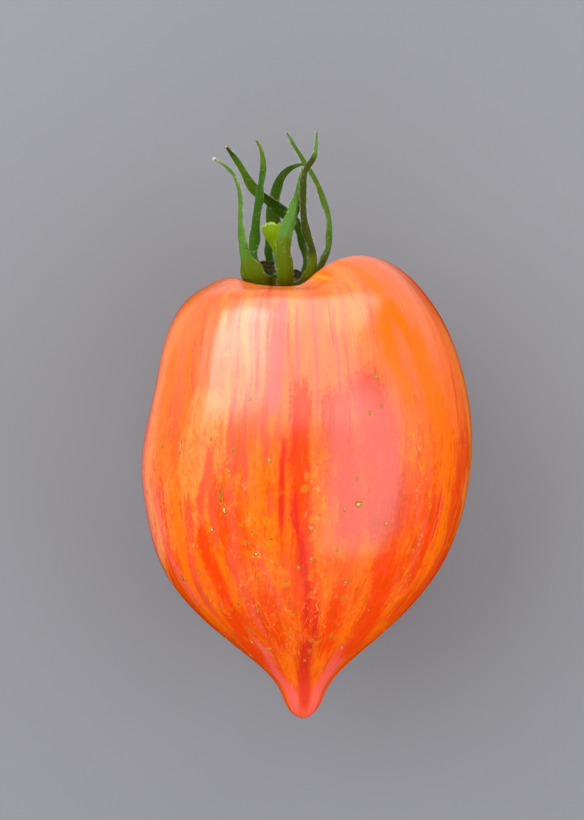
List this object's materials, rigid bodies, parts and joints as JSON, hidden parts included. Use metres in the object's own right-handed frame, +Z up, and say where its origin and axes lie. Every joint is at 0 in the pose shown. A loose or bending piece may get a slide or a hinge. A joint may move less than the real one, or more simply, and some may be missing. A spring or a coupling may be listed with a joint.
{
  "type": "tomato",
  "caption": "Whole ripe heart-shaped tomato with its green calyx and stalk stub, lying on its side on a small flat spot, for food displays and scenes.",
  "frame": {"origin": "centre of the small flat spot that the fruit rests on, under its widest station", "axes": "+Y along the fruit from its pointed tip to its stem end, +X to its right seen from above, +Z up from the surface it lies on"},
  "size_m": [0.0658, 0.117, 0.0604],
  "materials": {
    "skin": "glossy, smooth fruit skin, orange with rose and red streaks and ochre flecks",
    "sepal_green": "matt, finely hairy green leaf",
    "stalk_green": "satin green stem with a pale broken end"
  },
  "bodies": {
    "root": {"fruit": "skin", "calyx": "sepal_green", "stalk": "stalk_green"}
  },
  "joints": []
}
